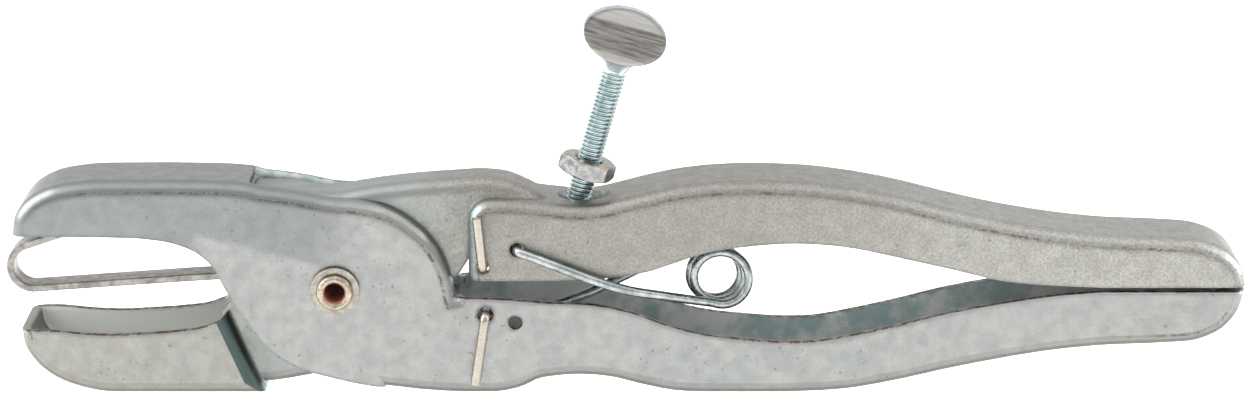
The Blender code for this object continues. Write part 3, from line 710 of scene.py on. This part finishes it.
def spring_pieces():
    """The coil and its two legs as wire meshes, each leg running from its hook on a lever through its
    bends to the coil.
    """
    coil_points = coil_line()
    upper = rounded(UPPER_HOOK, HOOK_BEND)[:-1] + smooth(UPPER_LEG + [coil_points[0]])
    lower = smooth([coil_points[-1]] + LOWER_LEG)[:-1] + rounded(LOWER_HOOK, HOOK_BEND)[1:]
    coil = wire("spring_coil", coil_points)
    upper_leg = wire("spring_upper_leg", upper + coil_points[1:3])
    lower_leg = wire("spring_lower_leg", coil_points[-3:-1] + lower)

    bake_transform(coil)
    for leg, joint, own in ((upper_leg, coil_points[0], "inner"), (lower_leg, coil_points[-1], "outer")):
        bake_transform(leg)
    return [coil, upper_leg, lower_leg]


# ---------------------------------------------------------------- the clamp

def dress(obj, material):
    """Gives the piece this material on the object itself, so that its mesh stays as it is."""
    if not obj.material_slots:
        obj.data.materials.append(material)
    for held in obj.material_slots:
        held.link = "OBJECT"
        held.material = material


def clamp():
    """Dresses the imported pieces, and puts the threaded screw, the nut and the wire in place."""
    nodes = frame["nodes"]
    bright = plated_sheet("bright_zinc_sheet", BRIGHT_SHEET, 0.34, outer_local)
    grainy = plated_sheet("grainy_zinc_sheet", GRAINY_SHEET, 0.38, inner_local)
    washer = washer_zinc()
    for name, material in (("outer_lever", bright), ("inner_lever", grainy)):
        dress(nodes[name], material)
        even = nodes[name].modifiers.new("even_shading", "WEIGHTED_NORMAL")
        even.keep_sharp = True
        even.weight = 90
    dress(nodes["pivot_rivet"], rivet_brass())
    dress(nodes["contact_strip"], strip_metal())
    for name in ("pivot_sleeve", "pivot_spacer_front", "pivot_spacer_rear", "rivet_washer_front",
                 "rivet_washer_rear", "terminal_washer"):
        dress(nodes[name], washer)

    screw = thumb_screw()
    dress(screw, screw_zinc())
    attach(screw, "screw")
    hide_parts("thumb_screw")

    nut = hex_nut()
    dress(nut, nut_zinc())
    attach(nut, "nut")
    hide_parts("terminal_nut")

    steel = drawn_wire()
    for piece in spring_pieces():
        dress(piece, steel)
        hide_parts("torsion_spring")


# ---------------------------------------------------------------- studio

def floor():
    """A pale sheet that glows a little, as a light table does, below the open lower jaw."""
    bpy.ops.mesh.primitive_plane_add(size=6.0, location=(0, 0, FLOOR_Z))
    made = bpy.context.object
    made.name = "studio_floor"
    g = Graph("pale_floor")
    g.put(g.shader.inputs["Emission Color"], (1.0, 1.0, 1.0))
    g.put(g.shader.inputs["Emission Strength"], 0.45)
    dress(made, g.finish((0.82, 0.82, 0.82), 0.9, 0.0))


def softbox(name, place, aim, size, energy):
    """A rectangular light of this size in metres and energy in watts, turned towards aim."""
    light = bpy.data.lights.new(name, "AREA")
    light.shape = "RECTANGLE"
    light.size, light.size_y = size
    light.energy = energy
    made = bpy.data.objects.new(name, light)
    bpy.context.scene.collection.objects.link(made)
    made.location = place
    made.rotation_euler = (Vector(aim) - Vector(place)).to_track_quat("-Z", "Y").to_euler()


def world():
    """An even white studio, a little brighter overhead and a little dimmer in front."""
    made = bpy.data.worlds.new("studio")
    bpy.context.scene.world = made
    made.use_nodes = True
    tree = made.node_tree
    place = tree.nodes.new("ShaderNodeTexCoord")
    split = tree.nodes.new("ShaderNodeSeparateXYZ")
    tree.links.new(place.outputs["Generated"], split.inputs[0])

    def ramp(value, low, high, bottom, top):
        node = tree.nodes.new("ShaderNodeMapRange")
        node.interpolation_type = "SMOOTHSTEP"
        for socket, given in zip(list(node.inputs)[1:5], (low, high, bottom, top)):
            socket.default_value = given
        tree.links.new(value, node.inputs[0])
        return node.outputs[0]

    strength = tree.nodes.new("ShaderNodeMath")
    strength.operation = "MULTIPLY"
    tree.links.new(ramp(split.outputs[2], 0.0, 0.6, 1.0, 1.25), strength.inputs[0])
    tree.links.new(ramp(split.outputs[1], -0.8, -0.2, 0.85, 1.0), strength.inputs[1])
    tree.links.new(strength.outputs[0], tree.nodes["Background"].inputs["Strength"])
    tree.nodes["Background"].inputs["Color"].default_value = (1.0, 1.0, 1.0, 1.0)


def camera():
    """Looks along +Y and down at the clamp's middle."""
    distance = 0.700
    seen_width = 0.23125  # at the front flanges
    flange = SHEET_HALF * MM
    right_of_pivot = Vector((0.05365, 0, 0))
    above_pivot = 0.0144
    ahead = Vector((0, math.cos(CAMERA_RISE), -math.sin(CAMERA_RISE)))
    up = Vector((0, math.sin(CAMERA_RISE), math.cos(CAMERA_RISE)))
    target = PIVOT + right_of_pivot + up * above_pivot
    data = bpy.data.cameras.new("photo_view")
    data.sensor_width = 36
    data.angle = 2 * math.atan(seen_width / 2 / (distance - flange * math.cos(CAMERA_RISE)))
    data.clip_start = 0.01
    made = bpy.data.objects.new("photo_view", data)
    bpy.context.scene.collection.objects.link(made)
    turn = Matrix((Vector((1, 0, 0)), up, -ahead)).transposed().to_4x4()
    made.matrix_world = Matrix.Translation(target - ahead * distance) @ turn
    bpy.context.scene.camera = made


clamp()
floor()
world()
softbox("overhead_softbox", (0.0, 0.0, 1.0), (0, 0, 0), (1.6, 0.8), 2.2)
softbox("front_softbox", (0.0, -0.40, 0.80), (0, 0, 0.02), (1.4, 0.35), 1.5)
softbox("left_softbox", (-0.85, -0.05, 0.5), (-0.1, 0, 0.03), (0.8, 0.8), 13.0)
softbox("right_softbox", (0.9, 0.1, 0.35), (0.1, 0, 0.03), (0.6, 0.6), 9.0)
camera()
bpy.context.scene.view_settings.view_transform = "Standard"
